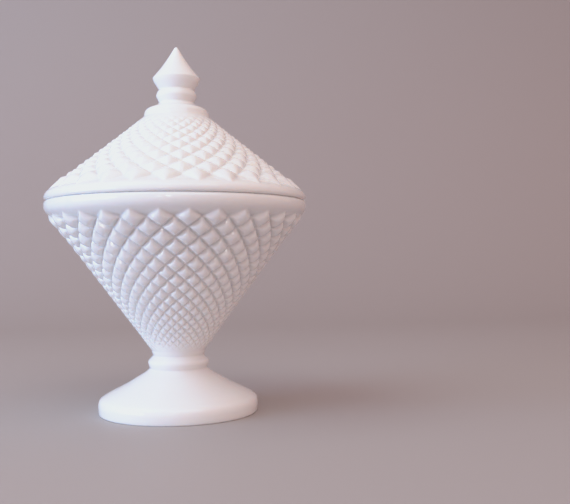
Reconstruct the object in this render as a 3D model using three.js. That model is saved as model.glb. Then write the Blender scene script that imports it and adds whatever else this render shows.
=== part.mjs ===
// Footed candy jar with a lid, in opaque white pressed glass.
//
// It has two pieces. The footed bowl is one pressing: a round foot, a beaded collar and a conical
// bowl. The lid is a second pressing: a low cone with a beaded neck and a pointed finial, and a ring
// underneath that keeps it centred in the bowl's mouth. Spiral grooves cross both cones and leave
// rows of diamond hobs.
//
// Millimetres, +Z up. The origin is on the jar's axis, in the plane of the foot's resting ring.

import * as THREE from "three";

// ---- Driving dimensions: the whole jar ----
const OVERALL_HEIGHT = 222;
const SEAM_HEIGHT = 127; // where the lid meets the bowl
const SEAT_GAP = 0.3; // left free between lid and bowl
const SEAM_RADIUS = 77.6; // both rims draw in to this radius at the seam
const RIM_RADIUS = 78.5; // widest part of the bowl's rim

// ---- Foot and collar ----
const FOOT_RADIUS = 47.9;
const FOOT_WALL_HEIGHT = 6.8;
const REST_OUTER_RADIUS = 46.8;
const REST_INNER_RADIUS = 40;
const UNDERSIDE_DOME = 9.5; // how far the hollow under the foot rises
const FOOT_NECK_RADIUS = 17.3;
const FOOT_NECK_HEIGHT = 26.6;
const COLLAR_RADIUS = 18.4;
const COLLAR_HEIGHT = 30;
const BOWL_NECK_RADIUS = 15.3;
const BOWL_NECK_HEIGHT = 34.4;

// ---- Cones that carry the hobs ----
// Around is the number of hobs in a row. Radius and height are those of the widest row, and slope is
// the cone's growth in radius with height. Row n has the widest row's radius times
// exp(-n * (step + gain * n)). Depth is that of a groove crossing, as a share of its row's radius,
// and it fades out over the last fade rows.
const BOWL_CONE = {
  around: 30,
  radius: 72.8,
  height: 112.66,
  slope: 0.75,
  rows: 23,
  step: 0.0584,
  gain: 0.00044,
  depth: 0.056,
  fade: 5,
};
const LID_CONE = {
  around: 27,
  radius: 69.6,
  height: 139.5,
  slope: -1.273,
  rows: 15,
  step: 0.0785,
  gain: 0.0007,
  depth: 0.046,
  fade: 5,
};
const LID_TURN = 3.3; // degrees from a groove crossing of the bowl to one of the lid

// ---- Inside of the bowl, and the lid's locating ring ----
const BOWL_WALL = 6.6; // measured level, from the tips of the hobs
const MOUTH_RADIUS = 73;
const MOUTH_DEPTH = 6.4;
const BOWL_FLOOR_HEIGHT = 41.5;
const LID_WALL = 9.8; // measured level, from the tips of the hobs
const RING_OUTER_RADIUS = 72;
const RING_INNER_RADIUS = 68.6;
const RING_DROP = 5.5; // how far the ring reaches below the seam
const LID_CEILING_HEIGHT = 178;

// ---- Lid top ----
const LID_RIM_RADIUS = 78.4;
const SHOULDER_RADIUS = 19;
const SHOULDER_HEIGHT = 182.3;
const FINIAL_NECK_RADIUS = 10.6;
const LOWER_NECK_HEIGHT = 187.7;
const FINIAL_BEAD_RADIUS = 12.3;
const FINIAL_BEAD_HEIGHT = 191.7;
const UPPER_NECK_HEIGHT = 195.6;
const GIRDLE_RADIUS = 14.4;
const GIRDLE_HEIGHT = 202.4;
const TIP_RADIUS = 0.9;

/** A point of an outline: its distance from the axis and its height. */
function at(radius, height) {
  return new THREE.Vector2(radius, height);
}

/** Points of a bend from start to end, drawn towards the corner point. */
function bend(start, corner, end, steps) {
  return new THREE.QuadraticBezierCurve(start, corner, end).getPoints(steps);
}

/** Points of a smooth curve through the given points. */
function smooth(points, steps) {
  return new THREE.SplineCurve(points).getPoints(steps);
}

/** Radius of a cone's surface, at the tips of its hobs, at a height. */
function coneRadius(cone, height) {
  return cone.radius + cone.slope * (height - cone.height);
}

/**
 * Outline points of a cone's rows, from the widest to the narrowest. The grooves cross the cone at
 * close to 45 degrees, so the rows get closer together as they get smaller. Each point knows how deep
 * its groove crossings are and which way is into the glass, and which columns the crossings are in.
 */
function hobRows(cone) {
  const lean = Math.atan(Math.abs(cone.slope));
  const inward = at(-Math.cos(lean), Math.sign(cone.slope) * Math.sin(lean));
  return Array.from({ length: cone.rows }, (_, row) => {
    const radius = cone.radius * Math.exp(-row * (cone.step + cone.gain * row));
    const point = at(radius, cone.height + (radius - cone.radius) / cone.slope);
    const left = Math.min(1, (cone.rows - 1 - row) / cone.fade);
    point.crossing = inward.clone().multiplyScalar(cone.depth * radius * left);
    point.shift = row % 2;
    return point;
  });
}

/** Is this point of the turned grid a crossing of two grooves? */
function isCrossing(outline, column, row) {
  const point = outline[row];
  return point.crossing !== undefined && (column + point.shift) % 2 === 0;
}

/** Sinks the groove crossings of a turned body into its surface. */
function sinkCrossings(geometry, outline, segments) {
  const position = geometry.attributes.position;
  for (let column = 0; column <= segments; column += 1) {
    const angle = (column * 2 * Math.PI) / segments;
    for (let row = 0; row < outline.length; row += 1) {
      if (isCrossing(outline, column, row)) {
        const sunk = outline[row].clone().add(outline[row].crossing);
        const index = column * outline.length + row;
        position.setXYZ(index, sunk.x * Math.sin(angle), sunk.y, sunk.x * Math.cos(angle));
      }
    }
  }
}

/** Splits the faces of a turned body along its grooves, from crossing to crossing. */
function splitAlongGrooves(geometry, outline, segments) {
  const faces = [];
  for (let column = 0; column < segments; column += 1) {
    for (let row = 0; row < outline.length - 1; row += 1) {
      const a = column * outline.length + row;
      const b = a + outline.length;
      const c = b + 1;
      const d = a + 1;
      if (isCrossing(outline, column, row) || isCrossing(outline, column + 1, row + 1)) {
        faces.push(a, b, c, a, c, d);
      } else {
        faces.push(a, b, d, c, d, b);
      }
    }
  }
  geometry.setIndex(faces);
}

/**
 * Turns an outline round the jar's axis and presses its hobs. A hob and a crossing take turns round
 * each row.
 */
function turned(outline, cone) {
  const segments = 2 * cone.around;
  const geometry = new THREE.LatheGeometry(outline, segments);
  sinkCrossings(geometry, outline, segments);
  splitAlongGrooves(geometry, outline, segments);
  geometry.rotateX(Math.PI / 2);
  geometry.computeVertexNormals();
  return geometry;
}

/** Opaque white glass. */
function milkGlass() {
  return new THREE.MeshStandardMaterial({ color: 0xeeedec, roughness: 0.18, metalness: 0 });
}

/** Foot, from the middle of its hollow underside round the edge and up its top to the collar. */
function footOutline() {
  return [
    ...bend(at(0, UNDERSIDE_DOME), at(30, UNDERSIDE_DOME), at(REST_INNER_RADIUS, 0), 5),
    at(REST_OUTER_RADIUS, 0),
    at(FOOT_RADIUS, 1.6),
    ...bend(at(FOOT_RADIUS, FOOT_WALL_HEIGHT), at(FOOT_RADIUS, 9.2), at(43, 11.4), 3),
    ...bend(at(31, 17.6), at(23, 22), at(19, 24.8), 2),
  ];
}

/** Bead between the foot and the bowl, with a neck below it and a neck above it. */
function collarOutline() {
  return [
    at(FOOT_NECK_RADIUS, FOOT_NECK_HEIGHT),
    at(COLLAR_RADIUS - 0.4, COLLAR_HEIGHT - 1.7),
    at(COLLAR_RADIUS, COLLAR_HEIGHT),
    at(COLLAR_RADIUS - 0.9, COLLAR_HEIGHT + 1.8),
    at(BOWL_NECK_RADIUS, BOWL_NECK_HEIGHT),
  ];
}

/** Smooth rolled rim of the bowl, up to the seam. */
function bowlRimOutline() {
  return [
    at(RIM_RADIUS - 2.1, SEAM_HEIGHT - 8.5),
    at(RIM_RADIUS - 0.9, SEAM_HEIGHT - 6.3),
    at(RIM_RADIUS, SEAM_HEIGHT - 3.4),
    at(RIM_RADIUS - 0.3, SEAM_HEIGHT - 1.3),
    at(SEAM_RADIUS, SEAM_HEIGHT - SEAT_GAP / 2 - 0.3),
    at(SEAM_RADIUS - 0.5, SEAM_HEIGHT - SEAT_GAP / 2),
  ];
}

/** Inside of the bowl, from the mouth's edge down to the middle of the floor. */
function bowlInsideOutline() {
  const ledge = SEAM_HEIGHT - MOUTH_DEPTH;
  const wall = (height) => at(coneRadius(BOWL_CONE, height) - BOWL_WALL, height);
  const corner = at(wall(BOWL_FLOOR_HEIGHT).x, BOWL_FLOOR_HEIGHT);
  return [
    at(MOUTH_RADIUS + 0.6, SEAM_HEIGHT - SEAT_GAP / 2),
    at(MOUTH_RADIUS, SEAM_HEIGHT - SEAT_GAP / 2 - 0.6),
    at(MOUTH_RADIUS, ledge),
    wall(ledge - 1.4),
    wall(86),
    ...bend(wall(52), corner, at(0, BOWL_FLOOR_HEIGHT), 5),
  ];
}

/** The foot, collar and bowl: one pressing. */
function footedBowl() {
  const outline = [
    ...footOutline(),
    ...collarOutline(),
    ...hobRows(BOWL_CONE).reverse(),
    ...bowlRimOutline(),
    ...bowlInsideOutline(),
  ];
  const mesh = new THREE.Mesh(turned(outline, BOWL_CONE), milkGlass());
  mesh.name = "footed_bowl";
  return mesh;
}

/**
 * Inside of the lid, from the middle of its ceiling down to the locating ring, and round the ring to
 * the seam.
 */
function lidInsideOutline() {
  const wall = (height) => at(coneRadius(LID_CONE, height) - LID_WALL, height);
  const ringBottom = SEAM_HEIGHT - RING_DROP;
  const coneFoot = LID_CONE.height + (RING_INNER_RADIUS + LID_WALL - LID_CONE.radius) / LID_CONE.slope;
  return [
    ...bend(at(0, LID_CEILING_HEIGHT), at(wall(LID_CEILING_HEIGHT).x, LID_CEILING_HEIGHT), wall(170), 4),
    wall(coneFoot),
    at(RING_INNER_RADIUS, ringBottom + 1),
    at(RING_INNER_RADIUS + 1, ringBottom),
    at(RING_OUTER_RADIUS - 1, ringBottom),
    at(RING_OUTER_RADIUS, ringBottom + 1),
    at(RING_OUTER_RADIUS, SEAM_HEIGHT + SEAT_GAP / 2),
  ];
}

/** Rim of the lid, from the seam up to the first row of hobs. */
function lidRimOutline() {
  return [
    at(SEAM_RADIUS - 0.5, SEAM_HEIGHT + SEAT_GAP / 2),
    at(SEAM_RADIUS, SEAM_HEIGHT + SEAT_GAP / 2 + 0.3),
    at(LID_RIM_RADIUS - 0.2, SEAM_HEIGHT + 1.2),
    at(LID_RIM_RADIUS, SEAM_HEIGHT + 2.2),
    at(LID_RIM_RADIUS - 0.5, SEAM_HEIGHT + 3.6),
    at(LID_RIM_RADIUS - 1.7, SEAM_HEIGHT + 5.5),
  ];
}

/** Shoulder above the hobs, neck, bead and second neck of the finial's stem. */
function stemOutline() {
  return [
    at(SHOULDER_RADIUS + 0.7, SHOULDER_HEIGHT - 2.6),
    at(SHOULDER_RADIUS, SHOULDER_HEIGHT),
    at(FINIAL_NECK_RADIUS + 1.4, LOWER_NECK_HEIGHT - 1.5),
    ...smooth(
      [
        at(FINIAL_NECK_RADIUS, LOWER_NECK_HEIGHT),
        at(FINIAL_BEAD_RADIUS, FINIAL_BEAD_HEIGHT),
        at(FINIAL_NECK_RADIUS, UPPER_NECK_HEIGHT),
      ],
      6,
    ),
  ];
}

/** Pointed finial, from its girdle up to its blunt tip. */
function finialOutline() {
  const waist = at(7, (GIRDLE_HEIGHT + OVERALL_HEIGHT) / 2 - 0.6);
  return [
    at(GIRDLE_RADIUS - 0.3, GIRDLE_HEIGHT - 0.7),
    ...bend(at(GIRDLE_RADIUS - 0.1, GIRDLE_HEIGHT + 0.2), waist, at(TIP_RADIUS, OVERALL_HEIGHT - 0.4), 3),
    at(0, OVERALL_HEIGHT),
  ];
}

/** The lid: cone, stem and finial in one pressing. */
function lid() {
  const outline = [
    ...lidInsideOutline(),
    ...lidRimOutline(),
    ...hobRows(LID_CONE),
    ...stemOutline(),
    ...finialOutline(),
  ];
  const geometry = turned(outline, LID_CONE).rotateZ(THREE.MathUtils.degToRad(LID_TURN));
  const mesh = new THREE.Mesh(geometry, milkGlass());
  mesh.name = "lid";
  return mesh;
}

const jar = new THREE.Group();
jar.add(footedBowl(), lid());

export default jar;
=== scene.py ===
"""Footed candy jar with a lid, in opaque white pressed glass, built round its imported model.

Each of the two pressings is one closed mesh: an outline turned about the jar's axis, with rows of
diamond hobs on its cone. Lengths are millimetres until a mesh is made, and heights are above the
foot's resting ring.
"""

import itertools
import math
from collections import namedtuple

import bmesh
import bpy
import numpy as np
from mathutils import Matrix, Vector


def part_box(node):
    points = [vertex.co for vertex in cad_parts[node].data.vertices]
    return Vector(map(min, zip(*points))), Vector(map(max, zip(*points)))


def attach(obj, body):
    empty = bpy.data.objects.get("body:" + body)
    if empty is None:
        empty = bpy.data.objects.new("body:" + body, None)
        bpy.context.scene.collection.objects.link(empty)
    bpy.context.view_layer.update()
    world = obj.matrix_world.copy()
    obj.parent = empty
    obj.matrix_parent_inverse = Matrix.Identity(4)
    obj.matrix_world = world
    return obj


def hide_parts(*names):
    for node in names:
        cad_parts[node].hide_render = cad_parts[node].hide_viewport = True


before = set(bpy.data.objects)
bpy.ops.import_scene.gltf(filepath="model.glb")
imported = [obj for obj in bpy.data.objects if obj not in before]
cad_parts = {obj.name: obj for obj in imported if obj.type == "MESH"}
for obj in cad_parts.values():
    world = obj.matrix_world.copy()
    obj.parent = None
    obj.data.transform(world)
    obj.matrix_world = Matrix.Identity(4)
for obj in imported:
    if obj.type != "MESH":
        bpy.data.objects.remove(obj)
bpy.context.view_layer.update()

MM = 0.001  # metres in a millimetre

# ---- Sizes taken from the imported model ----
BOWL_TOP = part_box("footed_bowl")[1] / MM
LID_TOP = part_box("lid")[1] / MM
LID_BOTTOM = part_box("lid")[0] / MM
RIM = BOWL_TOP.x  # radius of the bowl's rim
TIP = LID_TOP.z  # height of the finial's tip

# ---- The joint between the bowl and the lid ----
SEAT_GAP = 0.3  # between the two seats
SEAM = BOWL_TOP.z + SEAT_GAP / 2  # height of the joint line
LIP_GAP = 0.1  # at the joint line, where both lips come a little closer than the seats
LIP_START, LIP_END, SEAT_START = 0.5, 1.5, 2.5  # how far in from the end of the rounded rim

# ---- Hobs ----
RIM_SHARE = 0.5  # share of its depth that a groove keeps where it runs out in the rim's band
SWELL_ROWS = 4  # rows next to the rim over which the hobs swell beyond the cone
RIDGE_ROUNDING = 0.42  # how softly two faces meet, as a share of the depth
BAND_ROUNDING = 0.7  # how softly the hobs rise out of the smooth band beside them
BAND_CLEAR = 0.35  # left between the cone's last ring of points and the next point of the rim
PLACES_IN_ONE = 100  # places along one column or row that the mesh can tell apart

# Mesh lines across a hob, closer together at its grooves
STEPS = (-1, -0.86, -0.7, -0.52, -0.26, 0, 0.26, 0.52, 0.7, 0.86, 1)

# A cone that carries hobs, so many around, turned about the jar's axis by an angle in degrees.
# Radius and height are those of the widest full row, row 1, and slope is the growth of the radius
# with height. Row n has the radius of row 1 times exp(-(n - 1) * (step + gain * (n - 1))), and the
# half row between row 1 and the rim is stretched. A groove crossing is sunk by depth, a share of its
# row's radius, which fades out over the last fade rows. The hobs' faces take the face share of that
# depth and the groove's walls the rest, over the groove share of a face's run. At the rim the hobs
# swell that far beyond the cone.
Cone = namedtuple(
    "Cone", "around turn radius height slope rows step gain stretch depth fade face groove swell"
)
BOWL_CONE = Cone(
    around=30, turn=0, radius=72.8, height=112.66, slope=0.75,
    rows=23, step=0.0584, gain=0.00044, stretch=0.95,
    depth=0.056, fade=5, face=0.34, groove=0.48, swell=1.5,
)  # fmt: skip
LID_CONE = Cone(
    around=27, turn=3.3, radius=69.6, height=139.5, slope=-1.273,
    rows=15, step=0.0785, gain=0.0007, stretch=1.37,
    depth=0.046, fade=5, face=0.75, groove=0.4, swell=0.9,
)  # fmt: skip


# ---- Outlines: lists of (distance from the axis, height) ----
def smooth(points, steps=3):
    """Points of a smooth curve through the given points."""
    p = np.array(points, float)
    run = np.concatenate(([0], np.cumsum(np.linalg.norm(np.diff(p, axis=0), axis=1))))
    tangent = np.gradient(p, run, axis=0)
    made = [p[0]]
    for i in range(len(p) - 1):
        length = run[i + 1] - run[i]
        for t in np.arange(1, steps + 1) / steps:
            made.append(
                (1 + 2 * t) * (1 - t) ** 2 * p[i]
                + t * (1 - t) ** 2 * length * tangent[i]
                + t * t * (3 - 2 * t) * p[i + 1]
                + t * t * (t - 1) * length * tangent[i + 1]
            )
    return [tuple(q) for q in made]


def bend(start, corner, end, steps):
    """Points of a bend from start to end, drawn towards the corner."""
    a, b, c = (np.array(p, float) for p in (start, corner, end))
    share = np.linspace(0, 1, steps + 1)[:, None]
    return [tuple(q) for q in (1 - share) ** 2 * a + 2 * share * (1 - share) * b + share**2 * c]


def towards(corner, point, rounding):
    """Where the rounding of a corner ends on the way to the next point, at most 0.45 of that way."""
    way = point - corner
    return corner + way * min(rounding, 0.45 * np.linalg.norm(way)) / np.linalg.norm(way)


def joined(stretches, rounding):
    """One outline from stretches that share their ends, each shared corner rounded over that length."""
    made = list(stretches[0])
    for stretch in stretches[1:]:
        before, corner, after = (np.array(p) for p in (made[-2], made[-1], stretch[1]))
        start, end = towards(corner, before, rounding), towards(corner, after, rounding)
        made[-1:] = bend(start, corner, end, steps=2)
        made += stretch[1:]
    return made


def inner_wall(cone, thickness, height):
    """A point of a cone's inside. The thickness is measured level, from the tips of the hobs."""
    return cone.radius + cone.slope * (height - cone.height) - thickness, height


def lip(rim_end, lip_height, seat_height, seat_end):
    """From a rim's inner end over its lip to the seat, and level along the seat to its end."""
    r = rim_end[0]
    top = [(r - LIP_START, lip_height), (r - LIP_END, lip_height)]
    return [rim_end, *top, (r - SEAT_START, seat_height), (seat_end, seat_height)]


# ---- Cones with hobs ----
def row_radius(cone, row):
    """Radius of the cone's surface at a row."""
    run = np.where(row < 1, cone.stretch, 1) * (row - 1)
    return cone.radius * np.exp(-run * (cone.step + cone.gain * run))


def outward(cone):
    """Direction out of the cone's surface, as (radial, vertical)."""
    lean = math.atan(abs(cone.slope))
    return math.cos(lean), -math.copysign(math.sin(lean), cone.slope)


def soft_step(share):
    """Rises from 0 to 1 as a share does, level at both ends."""
    return share**2 * (3 - 2 * share)


def soft_min(x, y, rounding):
    """The smaller of two values, with the corner between them rounded."""
    overlap = np.clip(rounding - np.abs(x - y), 0, None) / rounding
    return np.minimum(x, y) - overlap**2 * rounding / 4


def face_height(cone, across):
    """Height of one face of a hob, from 0 in its groove to 1 over the hob's middle."""
    run = 1 - np.abs(across)
    return cone.face * run + (1 - cone.face) * soft_step(np.clip(run / cone.groove, 0, 1))


def over_cone(cone, outline):
    """Where an outline's points stand: the radius of the cone's surface under each, and its lift off it."""
    radial, vertical = outward(cone)
    r, z = np.array(outline).T
    lift = (r - cone.radius) * radial + (z - cone.height) * vertical
    return r - lift * radial, lift


def hob_triangles():
    """Corners (i, j) of the triangles on one hob. Each square is split on the line to the hob's middle."""
    last = len(STEPS) - 1
    triangles = []
    for i, j in itertools.product(range(last), repeat=2):
        corners = [(i, j), (i + 1, j), (i + 1, j + 1), (i, j + 1)]
        if (i - (last - 1) / 2) * (j - (last - 1) / 2) < 0:
            corners = corners[1:] + corners[:1]
        triangles += [corners[:3], corners[2:] + corners[:1]]
    return triangles


def hob_cells(cone):
    """Mesh of the cone's hobs: places (column, row), each place's spot (p, q, row) on its hob, and faces.

    A spot's p and q run from -1 to 1 across the hob, from groove to groove. The first and last rows are
    half hobs.
    """
    triangles = hob_triangles()
    places, spots, faces = [], [], []
    for row in range(cone.rows + 1):
        for column in range(row % 2, 2 * cone.around, 2):
            number = {}
            for (i, p), (j, q) in itertools.product(enumerate(STEPS), repeat=2):
                if not ((row == 0 and p < q) or (row == cone.rows and p > q)):
                    number[i, j] = len(places)
                    places.append((column + (p + q) / 2, row + (p - q) / 2))
                    spots.append((p, q, row))
            made = (corners for corners in triangles if all(c in number for c in corners))
            faces += [[number[c] for c in corners] for corners in made]
    return np.array(places), np.array(spots), np.array(faces)


def hob_surface(cone, band):
    """A cone's surface with its hobs and the smooth band beside its rim: points, their rows, and faces.

    A point is (column, radius, height).
    """
    places, spots, faces = hob_cells(cone)
    place = np.rint(places * PLACES_IN_ONE).astype(int)
    place[:, 0] %= 2 * cone.around * PLACES_IN_ONE
    kept, first, to_kept = np.unique(place, axis=0, return_index=True, return_inverse=True)
    column, row = kept.T / PLACES_IN_ONE
    p, q, hob_row = spots[first].T
    radius = row_radius(cone, row)
    height = soft_min(face_height(cone, p), face_height(cone, q), RIDGE_ROUNDING) * (hob_row > 0)
    rim_share = RIM_SHARE + (1 - RIM_SHARE) * np.clip(row, 0, 1)
    depth = cone.depth * radius * rim_share * soft_step(np.clip((cone.rows - row) / cone.fade, 0, 1))
    swell = cone.swell * np.clip(1 - row / SWELL_ROWS, 0, 1) ** 2 * (hob_row > 0)
    under_band, band_lift = over_cone(cone, band)
    order = np.argsort(under_band)
    band_lift = np.interp(radius, under_band[order], band_lift[order])
    lift = -soft_min(depth * (1 - height) - swell, -band_lift, BAND_ROUNDING)
    radial, vertical = outward(cone)
    level = cone.height + (radius - cone.radius) / cone.slope
    points = np.stack([column, radius + lift * radial, level + lift * vertical], 1)
    faces = [tuple(face) for face in to_kept.reshape(-1)[faces] if len(set(face)) == 3]
    return points, row, faces


def turn(points, faces, ring, outline):
    """Adds an outline turned all round, on from a ring of points to the outline's end on the jar's axis."""
    around = points[ring, 0]
    for r, z in outline[:-1]:
        following = len(points) + np.arange(len(ring))
        points = np.vstack([points, np.stack(np.broadcast_arrays(around, r, z), 1)])
        faces += zip(ring, np.roll(ring, -1), np.roll(following, -1), following)
        ring = following
    faces += [(a, b, len(points)) for a, b in zip(ring, np.roll(ring, -1))]
    return np.vstack([points, (0, *outline[-1])]), faces


def pressing(name, cone, rim, rim_side, neck_side):
    """A closed body: a cone with hobs, and outlines from its rim and its narrow end to the jar's axis."""
    points, row, faces = hob_surface(cone, rim)
    start = row_radius(cone, 0) + BAND_CLEAR
    rim_side = [point for point, under in zip(rim, over_cone(cone, rim)[0]) if under > start] + rim_side[1:]
    for edge, outline in ((0, rim_side), (cone.rows, neck_side)):
        ring = np.flatnonzero(row == edge)
        points, faces = turn(points, faces, ring[np.argsort(points[ring, 0])], outline)
    column, radius, height = points.T
    angle = math.radians(cone.turn) + column * math.pi / cone.around
    return solid(name, np.stack([radius * np.sin(angle), -radius * np.cos(angle), height], 1) * MM, faces)


def solid(name, points, faces):
    """A smooth-shaded object from a closed mesh, with its faces turned outwards."""
    mesh = bpy.data.meshes.new(name)
    mesh.from_pydata(points.tolist(), [], [[int(i) for i in f] for f in faces])
    turned = bmesh.new()
    turned.from_mesh(mesh)
    bmesh.ops.recalc_face_normals(turned, faces=turned.faces)
    turned.to_mesh(mesh)
    turned.free()
    mesh.shade_smooth()
    made = bpy.data.objects.new(name, mesh)
    bpy.context.scene.collection.objects.link(made)
    return made


# ---- The bowl on its foot ----
def bowl_rim():
    """Rim of the bowl, from inside the glass under the top row of hobs, up round the rim to the seam."""
    return smooth(
        [
            (RIM - 12, SEAM - 12),
            (RIM - 9.5, SEAM - 11.6),
            (RIM - 7.6, SEAM - 11.1),
            (RIM - 5.7, SEAM - 10.4),
            (RIM - 3.9, SEAM - 9.4),
            (RIM - 2.4, SEAM - 8.2),
            (RIM - 1.3, SEAM - 7),
            (RIM - 0.5, SEAM - 5.6),
            (RIM - 0.1, SEAM - 4.2),
            (RIM, SEAM - 2.8),
            (RIM - 0.2, SEAM - 1.5),
            (RIM - 0.6, SEAM - 0.8),
            (RIM - 1.3, SEAM - 0.35),
        ]
    )


def bowl_inside(rim_end):
    """From the rim's inner end over the mouth's edge, down the wall to the middle of the floor."""
    thickness = 6.6
    mouth = RIM - 5.5
    ledge = SEAM - 6.4
    heights = (ledge - 1.4, 86, 52, 41.5)
    wall_top, wall_middle, wall_bottom, floor_edge = (inner_wall(BOWL_CONE, thickness, z) for z in heights)
    return joined(
        [
            lip(rim_end, SEAM - LIP_GAP / 2, BOWL_TOP.z, mouth),
            [(mouth, BOWL_TOP.z), (mouth, ledge)],
            [(mouth, ledge), wall_top],
            [wall_top, wall_middle, wall_bottom],
            bend(wall_bottom, floor_edge, (0, floor_edge[1]), 6),
        ],
        rounding=0.6,
    )


def foot():
    """From the cone's narrow end down over the neck, the collar and the foot to the middle of its hollow."""
    neck = [(16.25, 36.7), (15.8, 35.5), (15.25, 34.4)]
    bead = smooth([neck[-1], (16.8, 32.6), (18.05, 31.3), (18.38, 29.9), (17.95, 28.3), (17.4, 26.5)], 3)
    top = smooth(
        [
            bead[-1],
            (19.2, 24.7),
            (24.4, 21.5),
            (31, 17.5),
            (39, 13.5),
            (44.5, 10.5),
            (47.1, 8.6),
            (47.9, 6.4),
            (47.85, 2.5),
            (47.7, 0.5),
        ],
        2,
    )
    rest = [(47.7, 0.5), (47.2, 0), (40, 0)]
    hollow = bend((40, 0), (30, 9.5), (0, 9.5), 8)
    return joined([neck, bead, top, rest, hollow], rounding=0.4)


def footed_bowl():
    """The foot, collar and bowl: one pressing."""
    rim = bowl_rim()
    piece = pressing("footed_bowl_glass", BOWL_CONE, rim, bowl_inside(rim[-1]), foot())
    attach(piece, "bowl")
    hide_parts("footed_bowl")
    return piece


# ---- The lid ----
def lid_rim():
    """Rim of the lid, from inside the glass under the lowest hobs, down round the rim to the seam."""
    return smooth(
        [
            (RIM - 12, SEAM + 8.9),
            (RIM - 9.5, SEAM + 8.5),
            (RIM - 7.3, SEAM + 8),
            (RIM - 5.3, SEAM + 7.3),
            (RIM - 3.5, SEAM + 6.4),
            (RIM - 2, SEAM + 5.4),
            (RIM - 1.1, SEAM + 4.5),
            (RIM - 0.5, SEAM + 3.4),
            (RIM - 0.25, SEAM + 2.2),
            (RIM - 0.3, SEAM + 1.2),
            (RIM - 0.7, SEAM + 0.6),
            (RIM - 1.3, SEAM + 0.3),
        ]
    )


def lid_inside(rim_end):
    """From the rim's inner end, round the locating ring and up the wall to the middle of the ceiling."""
    thickness = 9.8
    seat = SEAM + SEAT_GAP / 2
    ring_outer, ring_inner, ring_bottom = RIM - 6.5, RIM - 9.9, LID_BOTTOM.z
    wall_foot = (ring_inner, LID_CONE.height + (ring_inner + thickness - LID_CONE.radius) / LID_CONE.slope)
    wall_middle, wall_top, ceiling_edge = (inner_wall(LID_CONE, thickness, z) for z in (150, 170, 178))
    return joined(
        [
            lip(rim_end, SEAM + LIP_GAP / 2, seat, ring_outer),
            [(ring_outer, seat), (ring_outer, ring_bottom)],
            [(ring_outer, ring_bottom), (ring_inner, ring_bottom)],
            [(ring_inner, ring_bottom), wall_foot],
            [wall_foot, wall_middle, wall_top],
            bend(wall_top, ceiling_edge, (0, ceiling_edge[1]), 8),
        ],
        rounding=1,
    )


def finial():
    """From the cone's narrow end over the shoulder, the stem and its bead, up to the finial's tip."""
    shoulder = smooth(
        [(19.6, 180.3), (19.25, 181.7), (18.2, 183.05), (15.4, 184.5), (11.9, 186.2), (10.55, 187.6)], 4
    )
    bead = smooth([shoulder[-1], (11.4, 189.5), (12.3, 191.7), (11.8, 193.6), (10.6, 195.4)], 5)
    flare = smooth([bead[-1], (12.2, 198), (13.8, 200.6), (14.4, 202.5)], 3)
    point = smooth([flare[-1], (12.8, 204.5), (9.5, 208.5), (6.65, 212.5), (4, 216.5), (1.6, TIP - 1.5)], 4)
    tip = bend(point[-1], (0.8, TIP), (0, TIP), 3)
    return joined([shoulder, bead, flare, point], rounding=1) + tip[1:]


def lid():
    """The cone, stem and finial: one pressing."""
    rim = lid_rim()
    piece = pressing("lid_glass", LID_CONE, rim, lid_inside(rim[-1]), finial())
    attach(piece, "lid")
    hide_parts("lid")
    return piece


# ---- Materials ----
def node_material(name):
    """A new material with its node tree, its Principled shader and a node-adding function."""
    material = bpy.data.materials.new(name)
    material.use_nodes = True
    tree = material.node_tree
    shader = tree.nodes["Principled BSDF"]

    def add(kind, **inputs):
        node = tree.nodes.new(kind)
        for key, value in inputs.items():
            node.inputs[key.replace("_", " ")].default_value = value
        return node

    return material, tree, shader, add


def milk_glass():
    """Opaque white pressed glass: glossy, faintly translucent, with slight waves left by the mould."""
    material, tree, shader, add = node_material("milk_glass")
    link = tree.links.new
    place = add("ShaderNodeTexCoord")
    cloud = add("ShaderNodeTexNoise", Scale=22.0, Detail=3.0, Roughness=0.55)  # faint clouds in the white
    tint = add("ShaderNodeValToRGB")
    tint.color_ramp.elements[0].color = (0.86, 0.865, 0.875, 1)
    tint.color_ramp.elements[1].color = (0.93, 0.925, 0.915, 1)
    haze = add("ShaderNodeTexNoise", Scale=60.0, Detail=5.0, Roughness=0.6)  # small changes in gloss
    gloss = add("ShaderNodeMapRange", To_Min=0.04, To_Max=0.09)
    wave = add("ShaderNodeTexNoise", Scale=130.0, Detail=2.0, Roughness=0.4)  # slight waves in the surface
    bump = add("ShaderNodeBump", Strength=0.25, Distance=0.00025)
    for noise in (cloud, haze, wave):
        link(place.outputs["Object"], noise.inputs["Vector"])
    link(cloud.outputs["Fac"], tint.inputs["Fac"])
    link(tint.outputs["Color"], shader.inputs["Base Color"])
    link(haze.outputs["Fac"], gloss.inputs["Value"])
    link(gloss.outputs["Result"], shader.inputs["Roughness"])
    link(wave.outputs["Fac"], bump.inputs["Height"])
    link(bump.outputs["Normal"], shader.inputs["Normal"])
    shader.inputs["IOR"].default_value = 1.5
    shader.inputs["Subsurface Weight"].default_value = 0.6
    shader.inputs["Subsurface Radius"].default_value = (1.0, 0.85, 0.75)
    shader.inputs["Subsurface Scale"].default_value = 0.004
    return material


def plain(name, colour, roughness):
    """A plain matt material for the floor and backdrop."""
    material, _, shader, _ = node_material(name)
    shader.inputs["Base Color"].default_value = (*colour, 1)
    shader.inputs["Roughness"].default_value = roughness
    return material


# ---- Stage, lights and camera: lengths in metres ----
JAR_MIDDLE = Vector((0, 0, 0.12))


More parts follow.
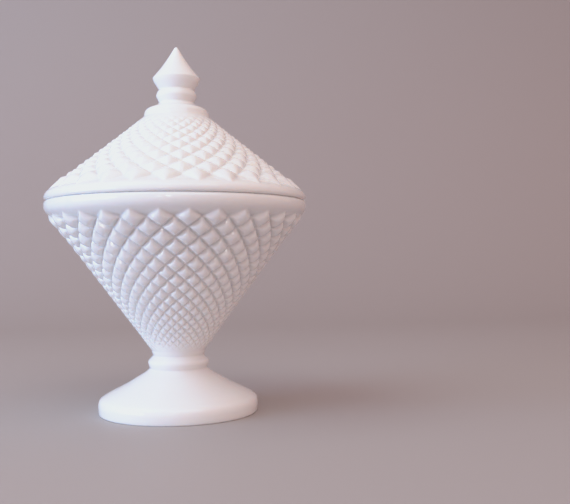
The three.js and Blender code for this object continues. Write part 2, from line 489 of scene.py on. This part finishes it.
def stage():
    """A pale floor that curves up into a backdrop."""
    half_width, front, back, curve, top = 2.6, -2.2, 1.3, 0.7, 2.6
    turns = np.linspace(0, math.pi / 2, 13)[1:]
    side = [(front, 0), (back - curve, 0)]
    side += [(back - curve + curve * math.sin(t), curve - curve * math.cos(t)) for t in turns]
    side += [(back, top)]
    points = [(x, y, z) for y, z in side for x in (-half_width, half_width)]
    faces = [(2 * i, 2 * i + 1, 2 * i + 3, 2 * i + 2) for i in range(len(side) - 1)]
    mesh = bpy.data.meshes.new("floor")
    mesh.from_pydata(points, [], faces)
    mesh.shade_smooth()
    floor = bpy.data.objects.new("floor", mesh)
    bpy.context.scene.collection.objects.link(floor)
    floor.data.materials.append(plain("pale_floor", (0.44, 0.40, 0.39), 0.6))


def softbox(name, place, size, power, colour):
    """A rectangular light at a place, aimed at the jar's middle. Size is (width, height)."""
    light = bpy.data.lights.new(name, "AREA")
    light.shape = "RECTANGLE"
    light.size, light.size_y = size
    light.energy = power
    light.color = colour
    lamp = bpy.data.objects.new(name, light)
    lamp.location = place
    lamp.rotation_euler = (JAR_MIDDLE - Vector(place)).to_track_quat("-Z", "Y").to_euler()
    bpy.context.scene.collection.objects.link(lamp)


def lights():
    """Cold light from the left, soft light from the front, two small panes on the rim, and a warm room."""
    softbox("window", (-1.5, -0.5, 0.35), (1.3, 0.6), 18.6, (0.39, 0.64, 1))
    softbox("left_fill", (-0.9, -0.4, 1.4), (1.2, 1.2), 9.6, (0.63, 0.9, 1))
    softbox("front_fill", (0.3, -1.2, 1.5), (1.4, 1.2), 7.3, (0.95, 1, 1))
    for side in (-1, 1):
        softbox("pane", (-0.36 + 0.12 * side, -2.1, 0.55), (0.12, 0.18), 1.2, (1, 0.98, 0.95))
    world = bpy.data.worlds.new("room")
    world.use_nodes = True
    room = world.node_tree.nodes["Background"]
    room.inputs["Color"].default_value = (1, 0.68, 0.63, 1)
    room.inputs["Strength"].default_value = 0.62
    bpy.context.scene.world = world


def soft_highlights():
    """Red, green and blue each run straight up to a shoulder and level off a little below full white."""
    view = bpy.context.scene.view_settings
    view.view_transform = "Standard"
    view.use_curve_mapping = True
    view.curve_mapping.extend = "HORIZONTAL"
    for curve, white in zip(view.curve_mapping.curves, (0.83, 0.86, 0.87)):
        shoulder = white - 0.25
        curve.points[1].location = (1, white)
        for at in (shoulder / 2, shoulder):
            curve.points.new(at, at)
        curve.points.new(shoulder + 0.2, shoulder + 0.175)
    view.curve_mapping.update()


def camera():
    """The jar is seen from the front, a little below its middle, and left of the picture's centre."""
    distance, eye_height = 0.4872, 0.0905
    round_the_jar, heading, tilt, roll = (math.radians(angle) for angle in (1.35, -7.719, 0.647, -0.561))
    lens = bpy.data.cameras.new("camera")
    lens.lens = 49.95
    lens.clip_start = 0.01
    eye = bpy.data.objects.new("camera", lens)
    eye.matrix_world = (
        Matrix.Rotation(round_the_jar, 4, "Z")
        @ Matrix.Translation((0, -distance, eye_height))
        @ Matrix.Rotation(heading, 4, "Z")
        @ Matrix.Rotation(math.pi / 2 + tilt, 4, "X")
        @ Matrix.Rotation(roll, 4, "Z")
    )
    bpy.context.scene.collection.objects.link(eye)
    bpy.context.scene.camera = eye


glass = milk_glass()
for piece in (footed_bowl(), lid()):
    piece.data.materials.append(glass)
stage()
lights()
soft_highlights()
camera()
